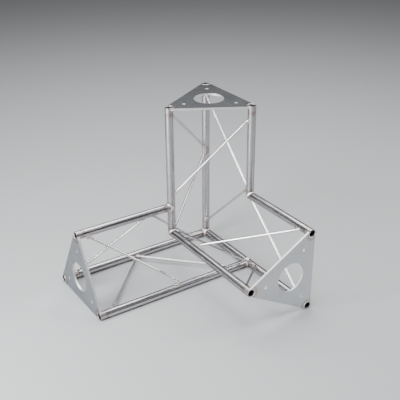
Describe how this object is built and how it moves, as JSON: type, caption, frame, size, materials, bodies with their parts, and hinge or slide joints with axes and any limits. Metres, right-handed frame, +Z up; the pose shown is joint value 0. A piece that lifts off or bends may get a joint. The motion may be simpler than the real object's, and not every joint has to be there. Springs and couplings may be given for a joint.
{
  "type": "lighting truss corner section",
  "caption": "Welded corner section of a triangular steel truss: arms at right angles, zig-zag bracing bars and a drilled bolting plate at each open end.",
  "frame": {"origin": "under the middle of the bounding box, at floor level, with the floor chords resting on the floor", "axes": "+Z up along the upright tower arm, -X along the left arm, -Y along the right arm"},
  "size_m": [0.45, 0.45, 0.45],
  "materials": {
    "chord_steel": "bright zinc-plated tube, semi-gloss",
    "plate_steel": "bright zinc-plated sheet, satin",
    "bar_steel": "bright drawn rod, semi-gloss"
  },
  "bodies": {
    "root": {"tower_chord_left": "chord_steel", "tower_chord_right": "chord_steel", "tower_chord_back": "chord_steel", "right_arm_chord_top": "chord_steel", "right_arm_chord_side": "chord_steel", "right_arm_chord_bottom": "chord_steel", "left_arm_chord_top": "chord_steel", "left_arm_chord_front": "chord_steel", "left_arm_chord_back": "chord_steel", "tower_end_plate": "plate_steel", "left_arm_end_plate": "plate_steel", "right_arm_end_plate": "plate_steel", "tower_brace_front": "bar_steel", "tower_brace_left": "bar_steel", "tower_brace_right": "bar_steel", "right_arm_brace_top": "bar_steel", "right_arm_brace_outer": "bar_steel", "right_arm_brace_under": "bar_steel", "left_arm_brace_front": "bar_steel", "left_arm_brace_back": "bar_steel", "left_arm_brace_bottom": "bar_steel"}
  },
  "joints": []
}
